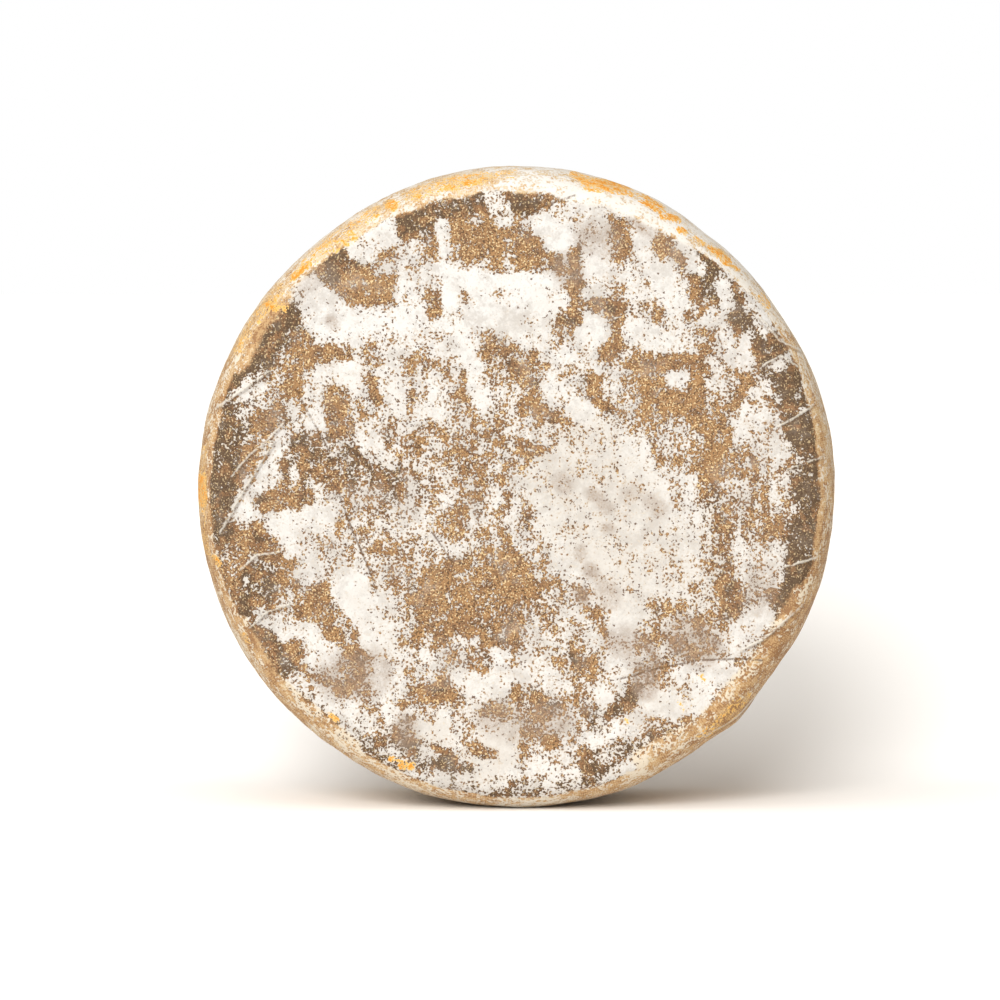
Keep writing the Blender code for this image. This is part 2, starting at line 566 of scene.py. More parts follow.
# %% Bloom below the middle
BLOOM_BELOW = [
    (0.14, 8.0, (-28, -38), (-20, -30), (-5, -28)),
    (0.10, 7.0, (-22, -46), (-4, -48)),
    (0.75, 3.0, (-34, -10), (-27, -18), (-20, -20)),
    (0.85, 3.5, (-20, -53), (-14, -54)),
    (0.90, 2.5, (-7, -56), (-3, -58)),
    (0.95, 5.0, (-34, -62), (-31, -59)),
    (0.15, 4.0, (-33, -70), (-24, -68)),
    (0.98, 5.5, (-17, -64), (-10, -68), (-4, -64)),
    (0.20, 1.8, (-12, -61), (-12, -59)),
    (0.90, 5.0, (-45, -66), (-42, -66)),
    (0.50, 6.0, (-15, -77), (-3, -78)),
    (0.98, 5.0, (-32, -83), (-27, -83)),
    (0.25, 3.5, (-39, -80), (-38, -88)),
    (0.10, 4.5, (-33, -90), (-25, -93)),
    (0.97, 4.5, (-3, -84), (-8, -88)),
    (0.97, 5.0, (-14, -94), (-4, -94)),
    (0.12, 2.8, (-19, -97), (-17, -96)),
    (0.20, 2.5, (-15, -88), (-9, -90)),
    (0.80, 4.0, (-50, -92), (-38, -98), (-20, -101), (10, -101)),
    (0.10, 5.0, (0, -18), (6, -22)),
    (0.12, 7.0, (-4, -32), (6, -34)),
    (0.40, 6.0, (10, -40), (14, -42)),
    (0.10, 3.5, (20, -46), (23, -58)),
    (0.15, 5.0, (8, -68), (16, -66)),
    (0.20, 4.0, (10, -74), (2, -70)),
    (0.97, 4.5, (28, -72), (24, -75)),
    (0.90, 5.0, (35, -60), (36, -52)),
    (0.12, 2.6, (28, -79), (35, -75), (41, -69)),
    (0.85, 5.0, (40, -82), (26, -85)),
    (0.30, 5.0, (40, -89), (30, -93), (18, -95)),
    (0.10, 2.2, (11, -86), (13, -86)),
]
print(len(BLOOM_BELOW), "strokes")

# %% Bloom at the right
BLOOM_RIGHT = [
    (0.35, 5.0, (66, -4), (76, -6)),
    (0.20, 3.0, (74, -1), (84, -3)),
    (0.20, 3.0, (68, -11), (73, -14)),
    (0.20, 4.0, (73, -18), (75, -24)),
    (0.25, 4.0, (72, -33), (75, -37)),
    (0.20, 3.0, (72, -42), (78, -40)),
    (0.68, 5.0, (86, -12), (86, -28)),
    (0.97, 4.5, (84, -43), (74, -52)),
    (0.40, 7.0, (56, -46), (64, -52)),
    (0.20, 4.0, (89, -52), (84, -60), (78, -68)),
    (0.95, 4.5, (57, -63), (72, -61)),
    (0.90, 4.0, (64, -68), (62, -74)),
    (0.93, 4.5, (46, -72), (56, -74)),
    (0.35, 4.0, (74, -70), (68, -78)),
    (0.50, 5.0, (60, -82), (50, -86)),
]
print(len(BLOOM_RIGHT), "strokes")

# %% Bloom on the folds, and last touches
# Thin lines along the folds, and corrections on top of all that is painted before
BLOOM_ON_FOLDS = [
    (0.60, 1.6, (-101, 29), (-92, 35), (-84, 40)),
    (0.60, 1.6, (-91, -45), (-86, -41), (-82, -40)),
    (0.55, 1.6, (88, 22), (95, 27), (99, 28)),
    (0.55, 1.6, (90, 8), (98, 10.5), (100, 11)),
    (0.65, 1.6, (76, -54), (88, -47), (94, -43)),
]
BLOOM_TOUCHES = [
    (0.48, 4.0, (-66, -78), (-50, -90), (-30, -99), (-8, -103), (14, -102), (36, -97), (52, -89)),
    (0.32, 3.0, (24, -93), (40, -88), (46, -84)),
    (0.60, 2.2, (-6, -101), (4, -100)),
    (0.72, 1.8, (10, -99), (20, -96)),
    (0.80, 2.0, (30, -99), (44, -93)),
    (0.85, 3.4, (-34, -95), (-26, -99)),
    (0.75, 3.5, (-45, 49), (-22, 49)),
    (0.60, 4.0, (68, 36), (72, 38)),
    (0.62, 4.5, (56, 20), (61, 14)),
    (0.15, 3.2, (70, 21), (72, 8)),
    (0.72, 4.0, (0, 22), (10, 20)),
    (0.60, 3.5, (0, -14), (9, -27)),
    (0.72, 4.0, (20, -44), (27, -52)),
    (0.20, 4.0, (-98, -24), (-90, -27)),
    (0.12, 3.0, (-99, 40), (-92, 47)),
    (0.55, 4.0, (-14, -8), (-2, -6)),
    (0.70, 3.0, (-60, -6), (-56, -10)),
    (0.70, 3.0, (-76, 28), (-72, 30)),
    (0.68, 3.0, (-54, 27), (-51, 22)),
    (0.30, 3.0, (-36, 16), (-30, 22)),
    (0.65, 4.0, (-46, -34), (-44, -40)),
    (0.65, 4.0, (46, -44), (54, -46)),
    (0.30, 3.0, (-10, 77), (9, 77)),
    (0.40, 3.5, (22, -68), (28, -80)),
    (0.35, 4.0, (82, 0), (88, -12)),
    (0.30, 3.0, (-62, -42), (-56, -50)),
    (0.62, 3.0, (49, 12), (52, 4)),
    (0.65, 3.0, (-46, -74), (-42, -77)),
    (0.70, 3.0, (-33, -90), (-28, -92)),
    (0.50, 3.0, (-62, 14), (-57, 16)),
    (0.35, 4.0, (64, 52), (68, 46)),
    (0.88, 2.6, (57, 84), (62, 76)),
    (0.85, 2.4, (70, 70), (72, 63)),
    (0.88, 2.8, (80, 64), (85, 55)),
    (0.60, 2.0, (94, 46), (89, 42)),
    (0.50, 1.8, (97, 34), (93, 28)),
    (0.35, 4.0, (-52, -16), (-46, -18)),
    (0.95, 3.4, (-54, 82), (-51, 80)),
    (0.85, 2.6, (14, 96), (16, 93)),
    (0.60, 5.0, (77, -18), (79, -26)),
    (0.40, 3.0, (-52, -77), (-48, -78)),
    (0.72, 5.0, (8, -62), (14, -66)),
    (0.75, 3.5, (53, 58), (57, 55)),
    (0.60, 4.0, (35, 41), (40, 30)),
    (0.55, 3.0, (-72, -16), (-66, -19)),
    (0.50, 4.0, (-37, -58), (-33, -62)),
    (0.60, 3.0, (-32, 70), (-28, 71)),
    (0.30, 2.5, (87, 30), (93, 27)),
    (0.45, 4.0, (-17, 27), (-13, 22)),
    (0.35, 4.0, (49, 17), (52, 12)),
    (0.35, 3.0, (-44, 79), (-40, 81)),
    (0.90, 3.5, (-47, -33), (-44, -37)),
    (0.40, 3.0, (-79, 66), (-74, 66)),
    (0.50, 3.0, (-34, -93), (-30, -94)),
    (0.85, 3.0, (-90, 37), (-86, 38)),
    (0.75, 3.0, (-40, 42), (-38, 36)),
    (0.70, 3.0, (-50, 28), (-46, 24)),
    (0.40, 4.0, (-18, -57), (-12, -57)),
    (0.30, 3.5, (77, 14), (80, 8)),
    (0.65, 3.0, (20, -48), (24, -54)),
    (0.80, 3.0, (6, -94), (16, -92)),
    (0.80, 3.0, (-18, -100), (-6, -101)),
]
print(len(BLOOM_ON_FOLDS), "lines on folds and", len(BLOOM_TOUCHES), "touches")

# %% All the bloom, in the order in which it is painted
BLOOM_FRONT = BLOOM_MIDDLE + BLOOM_UPPER_LEFT + BLOOM_UPPER_RIGHT + BLOOM_LEFT
BLOOM_FRONT += BLOOM_BELOW + BLOOM_RIGHT + BLOOM_TOUCHES + BLOOM_ON_FOLDS
print(len(BLOOM_FRONT), "strokes of bloom")

# %% [markdown]
# ## Maps of the other growths
#
# The bare crust isn't one brown: it is golden where it was rubbed, and grey and dark near the edge.
# The felt is pure white when young and turns to cream and grey. Its cream map also lies towards the
# lower right with the upper left kept white, partly as painted shade. A thin brown haze veils both in
# places. Strokes of dark crust and haze in the soft valley and a dent at the lower right are painted
# shade. Past the shoulder the crust is straw yellow, and spots of an orange mould sit on it. Each
# growth has its own layer of strokes, so that one can be changed without touching the others.

# %% Strokes for dark crust, cream and haze
DARK_START = 0.35
DARK_AND_SHADE_FRONT = [
    (0.90, 7.0, (-103, -12), (-101, 10), (-96, 30), (-86, 52), (-76, 63)),
    (0.85, 5.0, (-68, 74), (-52, 80)),
    (0.80, 6.0, (-40, 90), (-28, 96), (-14, 98), (4, 99)),
    (0.70, 9.0, (-72, 12), (-40, 4)),
    (0.90, 5.0, (62, 80), (70, 68), (78, 58), (87, 48)),
    (1.00, 6.5, (90, 42), (96, 28), (100, 5), (98, -18), (96, -34), (91, -44)),
    (0.80, 6.0, (-88, -28), (-90, -48), (-80, -60)),
    (0.70, 7.0, (-38, -82), (-28, -92)),
    # Painted shade in the soft valley at the lower right
    (0.80, 4.0, (42, -68), (28, -79)),
    (0.60, 7.0, (44, -88), (20, -96)),
    (0.55, 8.0, (66, -10), (76, -36)),
    (0.10, 10.0, (44, 34), (60, 24), (66, 12)),
    (0.15, 10.0, (-22, -32), (2, -28)),
    (0.15, 8.0, (-20, 84), (-6, 84)),
    (0.10, 7.0, (-52, 68), (-44, 66)),
    (0.10, 6.0, (-66, -45), (-63, -48)),
    (0.10, 5.0, (-74, 45), (-73, 36)),
    (0.90, 6.0, (-70, -74), (-50, -88), (-28, -97), (-6, -101), (18, -100), (40, -94), (56, -86)),
]
CREAM_START = 0.22
# Cream felt, and partly painted shade: the strokes lie towards the lower right, and the upper left is
# held at 0
CREAM_AND_SHADE_FRONT = [
    (0.80, 20.0, (22, 5), (34, -12), (44, -26)),
    (0.60, 12.0, (60, -28), (60, -45)),
    (0.35, 6.0, (-16, -64), (-5, -66)),
    (0.80, 6.0, (-31, -83), (-28, -83)),
    (0.85, 7.0, (-13, -94), (-2, -86)),
    (0.50, 10.0, (46, -74), (56, -75)),
    (0.40, 9.0, (-52, -38), (-48, -52)),
    (0.00, 15.0, (-60, 58), (-20, 65), (10, 88)),
]
HAZE_START = 0.06
HAZE_AND_SHADE_FRONT = [
    (0.10, 15.0, (84, 50), (88, 0), (80, -45)),
    (0.06, 16.0, (-30, -78), (20, -72), (55, -66)),
    (0.30, 4.0, (-72, 71), (-64, 74)),
    (0.45, 2.2, (-63, 58), (-62, 57)),
    (0.45, 6.0, (26, 86), (30, 85)),
    (0.50, 5.0, (17, 76), (18, 74)),
    (0.50, 4.0, (43, 92), (47, 89)),
    (0.48, 8.0, (-60, -64), (-50, -62)),
    # Painted shade in the valley and in the dent beside it at the lower right
    (0.70, 4.5, (45, -59), (44, -67)),
    (0.50, 7.0, (58, -50), (64, -54)),
    (0.45, 4.0, (32, -37), (30, -34)),
    (0.45, 6.0, (36, -52), (42, -55)),
    (0.45, 5.0, (14, -78), (8, -80)),
    (0.40, 6.0, (-8, -78), (0, -80)),
    (0.55, 4.0, (-38, -80), (-38, -84)),
    (0.35, 5.0, (84, -30), (84, -38)),
    (0.50, 2.4, (26, -1), (28, -2)),
    (0.50, 2.2, (30, -6), (31, -6)),
    (0.50, 2.0, (31, -13), (32, -13)),
    (0.50, 2.2, (22, -20), (22, -22)),
    (0.50, 2.6, (25, -27), (26, -28)),
    (0.60, 2.4, (22, -35), (23, -37)),
    (0.40, 3.0, (46, -4), (49, -6)),
    (0.35, 3.0, (38, -2), (40, -1)),
    (0.50, 3.0, (15, 3), (16, 2)),
]
print(len(DARK_AND_SHADE_FRONT), "dark,", len(CREAM_AND_SHADE_FRONT), "cream and", len(HAZE_AND_SHADE_FRONT), "haze strokes")

# %% Strokes for straw and orange
STRAW_FRONT = [
    (1.0, 4.0, (-95, 44), (-88, 58), (-80, 66)),
    (0.8, 3.0, (-76, 72), (-66, 82), (-56, 87)),
    (1.0, 6.0, (99, -38), (93, -49), (85, -61), (77, -70), (70, -79)),
    (0.8, 4.0, (66, -80), (56, -85), (44, -92)),
    (0.8, 3.0, (-94, -46), (-84, -64), (-70, -76), (-56, -88)),
]
ORANGE_FRONT = [
    (0.34, 2.6, (-48, 95), (-60, 87), (-71, 78)),
    (0.32, 2.4, (-80, 69), (-88, 60), (-95, 48)),
    (0.30, 2.0, (-38, 100), (-22, 105), (0, 108)),
    (0.20, 2.0, (16, 107), (40, 102), (58, 92)),
    (0.30, 1.6, (-107, 14), (-108, -6), (-106, -22)),
    (0.30, 3.0, (78, -71), (72, -78), (64, -84)),
    (0.85, 1.6, (20, 108), (25, 105), (29, 104)),
    (1.00, 2.4, (25, 104.5), (30, 104), (37, 103.5)),
    (1.00, 1.8, (44, 99), (49, 96)),
    (1.00, 1.2, (50, 93.5), (55, 92.5)),
    (0.90, 1.1, (56, 88.5), (57.5, 88)),
    (0.70, 0.8, (61, 86), (64, 84)),
    (0.80, 0.9, (66, 83), (68, 81)),
    (1.00, 1.6, (69, 81), (72, 78)),
    (0.80, 0.8, (73, 77), (76, 75)),
    (0.50, 1.4, (84, 66), (86, 63)),
    (0.45, 1.2, (39, 101.5), (43, 99)),
    (1.00, 1.9, (-43, 97.5), (-42, 97)),
    (0.45, 2.4, (-34, 101), (-20, 105), (-12, 106.5)),
    (0.90, 0.9, (-17, 105), (-14, 105)),
    (0.80, 0.8, (-23, 103), (-20, 102.5)),
    (0.50, 3.0, (-57, 86.5), (-64, 83)),
    (0.85, 1.2, (-76, 72.5), (-71, 77)),
    (0.90, 1.5, (-84, 63), (-79, 62)),
    (1.00, 2.0, (-108, 3), (-107.5, -4)),
    (0.90, 1.0, (-103, -23), (-101.5, -25)),
    (0.50, 1.2, (-93, -50), (-92, -52)),
    (0.90, 1.5, (-39, -94), (-36, -94)),
    (0.50, 1.0, (-43, -92), (-41, -92)),
    (0.90, 0.9, (-63, -77), (-61.5, -78)),
    (0.70, 0.8, (37, -78.5), (38, -79)),
    (0.50, 0.9, (56, -72), (57, -75)),
    (0.50, 0.9, (63, -63), (64, -65)),
]
print(len(STRAW_FRONT), "straw and", len(ORANGE_FRONT), "orange strokes")

# %% Lines of the creases and of the crests of folds
# These are too thin for a brush: each is a line along its points. The material paints shade along each
# crease, and a highlight with shade beside it along each crest
CREASES = [
    [(-74, 33), (-70, 25), (-66, 18), (-64, 14)],
    [(-60, -2), (-56, -13), (-50, -27), (-48, -33)],
    [(37, -64), (48, -61), (62, -58), (78, -57.5), (83, -58)],
    [(3, 93), (10, 97), (19, 100)],
    [(-28, -15), (-22, -24)],
]
CRESTS = [
    [(-96, 6), (-91, 12), (-85, 17), (-80, 22)],
    [(-100, -13), (-95, -4), (-89, 6), (-83, 16)],
    [(-93, -26), (-88, -22), (-82, -21)],
    [(-90, -46), (-84, -41), (-78, -39)],
    [(-101, 29), (-92, 35), (-85, 40)],
    [(90.5, 22.5), (95, 25), (100.5, 28.5)],
    [(94, 8), (98, 9.5), (103, 11)],
    [(85, 43), (90, 46), (95, 43)],
    [(78, -54), (84, -51), (90, -46), (97, -40)],
    [(93, -25.5), (97, -24.5), (101, -23.5)],
    [(66, -84), (76, -78), (84, -70)],
    [(84, 58), (90, 51), (97, 48)],
]
print(len(CREASES), "creases and", len(CRESTS), "crests")

# %% [markdown]
# ## The rim
#
# The rim is a band, so strokes on a flat face can't describe it. It is told round the clock
# instead: how white it is at each angle, where it starts and how deep its straw colour is. Round the
# top it is whiter and paler, partly the felt's own white and partly painted light where the top of
# the rim catches the light. Where a vertex stands between face and rim is told by how far it lies
# from the middle of a face, measured over the skin, because that distance keeps growing round the
# shoulder. A little noise makes the border wander.

# %% The rim round the clock
RIM_STARTS = 102.5
RIM_BLEND = 2.6
RIM_WOBBLE = 1.6
RIM_WHITE_VARIES = 0.14

# Round the rim: angle (0 right, 90 up), share that is white, how many millimetres further out than
# usual the straw starts, and how deep the straw's colour is, from -1 for pale to 1 for deep. Round
# the top, from 45 to 135 degrees, the rim is paler, and from 45 to 90 whiter: partly the felt's own
# white, partly painted light on the top of the rim
RIM_CLOCK = [
    (-180, 0.30, 3.0, 0.5), (-165, 0.26, 3.5, 0.6), (-150, 0.34, 3.0, 0.4), (-135, 0.28, 2.5, 0.3),
    (-120, 0.46, 2.5, 0.3), (-105, 0.46, 3.5, 0.3), (-90, 0.56, 4.0, 0.0), (-75, 0.40, 3.5, 0.3),
    (-60, 0.36, 0.5, 0.3), (-45, 0.26, -5.5, 0.5), (-30, 0.24, -2.5, 0.6), (-15, 0.22, 2.0, 0.5),
    (0, 0.28, 1.5, 0.2), (15, 0.42, 1.5, 0.0), (23, 0.50, 5.0, 0.0), (30, 0.56, 5.0, 0.0),
    (45, 0.84, 2.0, -0.4), (60, 0.86, -3.0, -0.5), (75, 0.80, -3.0, -0.5), (90, 0.66, -1.5, -0.6),
    (105, 0.46, -1.5, -0.3), (120, 0.55, -2.0, -0.1), (135, 0.52, -1.0, -0.1), (150, 0.38, 2.8, 0.2),
    (165, 0.30, 2.5, 0.4), (180, 0.30, 3.0, 0.5),
]

x, y, z = points.T
face_x, face_z = x / MM, z / MM
over_skin = (np.hypot(x, z) + HALF_THICKNESS - np.abs(y)) / MM
wobble = RIM_WOBBLE * cloud(points, 9 * MM, octaves=3, seed=5.3)
clock = np.degrees(np.arctan2(z, x))
clock_angles, *clock_columns = zip(*RIM_CLOCK)
rim_white_and_top_light, rim_further, rim_depth_and_top_light = (
    np.interp(clock, clock_angles, column) for column in clock_columns
)
rim_white_and_top_light += RIM_WHITE_VARIES * cloud(points, 16 * MM, 2, seed=2.2)
on_rim = smooth_step(0.0, RIM_BLEND, over_skin + wobble - RIM_STARTS - rim_further)
print(f"{(on_rim > 0.5).mean():.0%} of the vertices are on the rim")

# %% [markdown]
# ## The back face
#
# The back ripened in the same way, and no two faces are alike, so any layout will do there. It gets
# strokes of the same kinds at random places. The random numbers come from a fixed seed, so that the
# strokes are the same on every run.

# %% Random strokes for the back
BACK_SEED = 11
rng = np.random.default_rng(BACK_SEED)


def random_strokes(count, values, widths, reach):
    """Short strokes at random places inside a circle, for the face that lay on the shelf."""
    strokes = []
    for _ in range(count):
        width = rng.uniform(*widths)
        far, turn = reach * math.sqrt(rng.random()), rng.uniform(0.0, 2.0 * math.pi)
        run, lean = width * rng.uniform(0.3, 2.2), rng.uniform(0.0, 2.0 * math.pi)
        start = (far * math.cos(turn), far * math.sin(turn))
        end = (start[0] + run * math.cos(lean), start[1] + run * math.sin(lean))
        strokes.append((rng.choice(values), width, start, end))
    return strokes


# How many strokes, the values they choose from, their half widths and how far out they may start
back_bloom = random_strokes(95, [0.05, 0.1, 0.2, 0.85, 0.95, 1.0], (3.0, 9.0), 96.0)
back_dark = random_strokes(16, [0.1, 0.8, 0.9], (6.0, 14.0), 100.0)
back_cream = random_strokes(10, [0.0, 0.7, 0.8], (8.0, 18.0), 90.0)
back_haze = random_strokes(22, [0.5], (2.0, 6.0), 92.0)
back_orange = random_strokes(9, [0.4, 0.5, 0.6], (1.4, 2.6), 101.0)
print(f"the first stroke on the back starts at {back_bloom[0][2][0]:.1f}, {back_bloom[0][2][1]:.1f} mm")

# %% [markdown]
# ## Painting the maps
#
# Each map is stored as one number per vertex, an attribute that the material can read. The mesh
# has a vertex about every millimetre, which is fine enough for a patch of mould but too coarse for a
# crease. So a crease isn't stored as paint. What is stored is the distance from its line, which
# changes evenly from vertex to vertex, and the material draws the line from that.

# %% Distance from the lines
LINE_FULL_UNTIL = 0.8
LINE_GONE_AT = 2.6
FAR_AWAY = 9.0


def side_of_lines(lines, x, z):
    """Signed distance from the nearest line. It passes through 0 evenly, so a fine line is kept."""
    nearest = np.full(len(x), np.inf)
    signed = np.full(len(x), FAR_AWAY)
    for path in lines:
        for (ax, az), (bx, bz) in zip(path, path[1:]):
            distance = distance_to_path([(ax, az), (bx, bz)], x, z)
            length = math.hypot(bx - ax, bz - az)
            across = ((x - ax) * (bz - az) - (z - az) * (bx - ax)) / length
            closer = distance < nearest
            nearest = np.where(closer, distance, nearest)
            signed = np.where(closer, across, signed)
    return signed, 1.0 - smooth_step(LINE_FULL_UNTIL, LINE_GONE_AT, nearest)


crease_side, crease_near = side_of_lines(CREASES, face_x, face_z)
crest_side, crest_near = side_of_lines(CRESTS, face_x, face_z)
print((crease_near > 0).sum(), "vertices near a crease,", (crest_near > 0).sum(), "near a crest")

# %% Paint both faces
behind = smooth_step(-0.3, 0.3, y / HALF_THICKNESS)


def both_faces(start, front_strokes, back_strokes):
    front = paint(start, front_strokes, face_x, face_z)
    back = paint(start, back_strokes, face_x, face_z)
    return front + (back - front) * behind


bloom = both_faces(BLOOM_START, BLOOM_FRONT, back_bloom)
dark = both_faces(DARK_START, DARK_AND_SHADE_FRONT, back_dark)
cream = both_faces(CREAM_START, CREAM_AND_SHADE_FRONT, back_cream)
haze = both_faces(HAZE_START, HAZE_AND_SHADE_FRONT, back_haze)
straw = both_faces(0.0, STRAW_FRONT, [])
orange = both_faces(0.0, ORANGE_FRONT, back_orange)
print(f"{bloom.mean():.0%} of the two faces is under bloom")

# %% Store the maps
# Orange spots also grow at the highest places of a noise, but only past the front shoulder
rim_orange = smooth_step(0.95, 1.35, cloud(points, 11 * MM, 3, seed=9.4))
orange = np.maximum(orange, rim_orange * smooth_step(-0.75, -0.45, y / HALF_THICKNESS) * on_rim)

maps = {
    "crease_side": crease_side,
    "crease": crease_near * (1.0 - behind),
    "crest_side": crest_side,
    "crest": crest_near * (1.0 - behind),
    "bloom": bloom + (rim_white_and_top_light - bloom) * on_rim,
    "dark": dark * (1.0 - on_rim),
    "cream": cream * (1.0 - 0.5 * on_rim),
    "haze": haze * (1.0 - on_rim),
    "straw": np.maximum(straw, on_rim),
    # The rim's depth, paler round the top: partly painted light
    "deep": rim_depth_and_top_light,
    "orange": orange,
    "rim": on_rim,
}
for name, layer in maps.items():
    stored = wheel.data.attributes.new(name, "FLOAT", "POINT")
    stored.data.foreach_set("value", layer.astype(np.float32))
    print(f"{name}: {layer.min():.2f} to {layer.max():.2f}, mean {layer.mean():.2f}")

# %% [markdown]
# ## Writing a material as sums
#
# A rind needs a hundred nodes, and wiring them one by one hides the idea. This small class wraps an
# output socket and gives it arithmetic, so that a formula in Python adds the Math nodes by itself.
# Everything that isn't arithmetic goes through one method that takes the node's type, its settings
# and what goes into its sockets.

# %% The wire class
class Wire:
    """An output socket that can be added, multiplied and passed on."""

    def __init__(self, tree, socket):
        self.tree = tree
        self.socket = socket

    def node(self, kind, settings=None, inputs=None, out=0):
        made = self.tree.nodes.new(kind)
        for name, value in (settings or {}).items():
            setattr(made, name, value)
        for name, value in (inputs or {}).items():
            if isinstance(value, Wire):
                self.tree.links.new(value.socket, made.inputs[name])
            else:
                made.inputs[name].default_value = value
        return Wire(self.tree, made.outputs[out])

    def math(self, operation, *values):
        inputs = dict(enumerate(values))
        return self.node("ShaderNodeMath", {"operation": operation}, inputs)

    def __add__(self, other):
        return self.math("ADD", self, other)

    def __sub__(self, other):
        return self.math("SUBTRACT", self, other)

    def __mul__(self, other):
        return self.math("MULTIPLY", self, other)

    def __rsub__(self, other):
        return self.math("SUBTRACT", other, self)

    def __neg__(self):
        return self.math("MULTIPLY", self, -1.0)

    __radd__ = __add__
    __rmul__ = __mul__

    def step(self, low, high):
        """0 below low, 1 above high, and a smooth rise between them."""
        settings = {"interpolation_type": "SMOOTHSTEP"}
        return self.node("ShaderNodeMapRange", settings, {0: self, 1: low, 2: high})

    def clamped(self):
        return self.node("ShaderNodeClamp", None, {0: self})

    def noise(self, size, detail=2.0, roughness=0.5, distortion=0.0):
        """Noise read at this vector, about 0 on average, with features of that size in metres."""
        inputs = {"Vector": self, "Scale": 1.0 / size, "Detail": detail}
        inputs.update({"Roughness": roughness, "Distortion": distortion})
        return self.node("ShaderNodeTexNoise", None, inputs) - 0.5

    def over(self, colour, amount):
        """This colour, covered by another one where the amount is 1."""
        return blend(self, colour, amount)


def blend(first, second, amount):
    """One colour where the amount is 0, the other where it is 1, and a mix between them."""
    inputs = {0: amount, 6: first, 7: second}
    return amount.node("ShaderNodeMix", {"data_type": "RGBA"}, inputs, out=2)


# %% Colours as they look
LIGHT_ON_FACE = 1.36


def seen(red, green, blue):
    """The colour that looks like this, from 0 to 255, in the light that falls on the face."""
    share = np.array([red, green, blue]) / 255.0
    linear = np.where(share <= 0.04045, share / 12.92, ((share + 0.055) / 1.055) ** 2.4)
    return (*(float(part) / LIGHT_ON_FACE for part in linear), 1.0)


print("white felt reflects", [round(part, 2) for part in seen(249, 247, 243)[:3]])

# %% [markdown]
# ## The rind
#
# The material reads the maps and breaks them up with noise at the sizes that the real growths
# have: a few millimetres for ragged patches, about one millimetre for the pepper of specks at
# their edges. The sum is cut sharply, so that felt and crust meet in a crisp, fractal line. The
# crust below is leathery, with golden flecks and the weave of the pressing cloth, and the felt
# lies on it as a thin raised layer.

# %% Places and noises
rind = bpy.data.materials.new("rind")
rind.use_nodes = True
tree = rind.node_tree
tree.nodes.clear()
wire = Wire(tree, None)

place = wire.node("ShaderNodeTexCoord", out="Object")
wheel_place = wire.node(
    "ShaderNodeMapping", None, {"Vector": place, "Location": (0.0, 0.0, -AXIS_HEIGHT)}
)


def attribute(name):
    return wire.node("ShaderNodeAttribute", {"attribute_name": name}, out="Fac")


def stretched(scale):
    """The place with each axis stretched, so that noise read there is drawn out along some axes."""
    return wire.node("ShaderNodeMapping", None, {"Vector": wheel_place, "Scale": scale})


split = wheel_place.node("ShaderNodeSeparateXYZ", None, {0: wheel_place})
side_x = Wire(tree, split.socket.node.outputs[0])
depth_y = Wire(tree, split.socket.node.outputs[1])
height_z = Wire(tree, split.socket.node.outputs[2])

ragged = wheel_place.noise(9 * MM, detail=5.0, roughness=0.62)
patchy = wheel_place.noise(3.4 * MM, detail=3.0, roughness=0.6)
pepper = wheel_place.noise(0.9 * MM, detail=2.0, roughness=0.6)
streaks = stretched((1.0, 1.0, 0.14)).noise(2.6 * MM, detail=2.0)
grain = wheel_place.noise(0.65 * MM, detail=1.0, roughness=0.6)
flecks = wheel_place.noise(0.58 * MM, detail=0.0)
drift = wheel_place.noise(14 * MM, detail=5.0, roughness=0.65, distortion=0.6)
mottle = wheel_place.noise(5 * MM, detail=4.0, roughness=0.6)
rim_streaks = stretched((0.3, 1.0, 0.3)).noise(1.6 * MM, detail=3.0, roughness=0.65)


def dots(spacing):
    """Distance from the nearest of a scatter of dots, measured in spacings."""
    inputs = {"Vector": wheel_place, "Scale": 1.0 / spacing}
    return wire.node("ShaderNodeTexVoronoi", None, inputs)


granules = dots(1.0 * MM)
pits = dots(1.05 * MM)
# The scatter also gives each dot a random colour, and one part of it serves as a random number
pit_colour = Wire(tree, pits.socket.node.outputs["Color"])
pit_number = wire.node("ShaderNodeSeparateXYZ", None, {0: pit_colour})
print(len(tree.nodes), "nodes for places and noises")

# %% [markdown]
# ## The weave
#
# The cloth has left the print of its threads: two crossing sets of fine ridges on the faces, and
# one set across the rim. An image of cloth could be laid on, but it would have to be unwrapped and
# would stretch at the shoulder. A sine of the distance along the skin gives even ridges, and a slow
# noise added to it makes the threads waver.

# %% Weave of the pressing cloth
THREAD = 0.82 * MM
THREAD_LEAN = 0.04
THREAD_WAVER = 14.0


def threads(along, waver):
    """Ridges one thread apart, from 0 to 1, that waver a little as cloth does."""
    phase = along * (2.0 * math.pi / THREAD) + waver
    return wire.math("SINE", phase) * 0.5 + 0.5


waver = wheel_place.noise(14 * MM, detail=2.0) * THREAD_WAVER
face_weave = threads(side_x + height_z * THREAD_LEAN, waver) * 0.6
face_weave = face_weave + threads(height_z - side_x * THREAD_LEAN, waver) * 0.4
round_the_rim = wire.math("ARCTAN2", height_z, side_x) * WIDE_RADIUS
rim_weave = threads(round_the_rim, waver)
rim = attribute("rim")
weave = face_weave + (rim_weave - face_weave) * rim
print(f"{2 * math.pi * WIDE_RADIUS / THREAD:.0f} threads round the rim")

# %% [markdown]
# ## The felt's edge
#
# The map of bloom is a share, and a real patch is never half there: a spot of crust is covered or
# it isn't. So the noises are added to the map, large ones for the shape of patches and small ones
# for specks, and the sum is cut where it crosses 0. Where the map is high only a few specks of
# crust show through, and where it is low only a few specks of felt are left.

# %% Where the felt is
PAINT_STRENGTH = 0.84
RAGGED_GAIN = 1.35
PATCHY_GAIN = 1.4
STREAK_GAIN = 0.6
RIM_STREAK_GAIN = 1.4
PEPPER_GAIN = 1.45
GRANULE_GAIN = 0.6
EDGE = 0.05
SOFTER_ON_RIM = 0.12

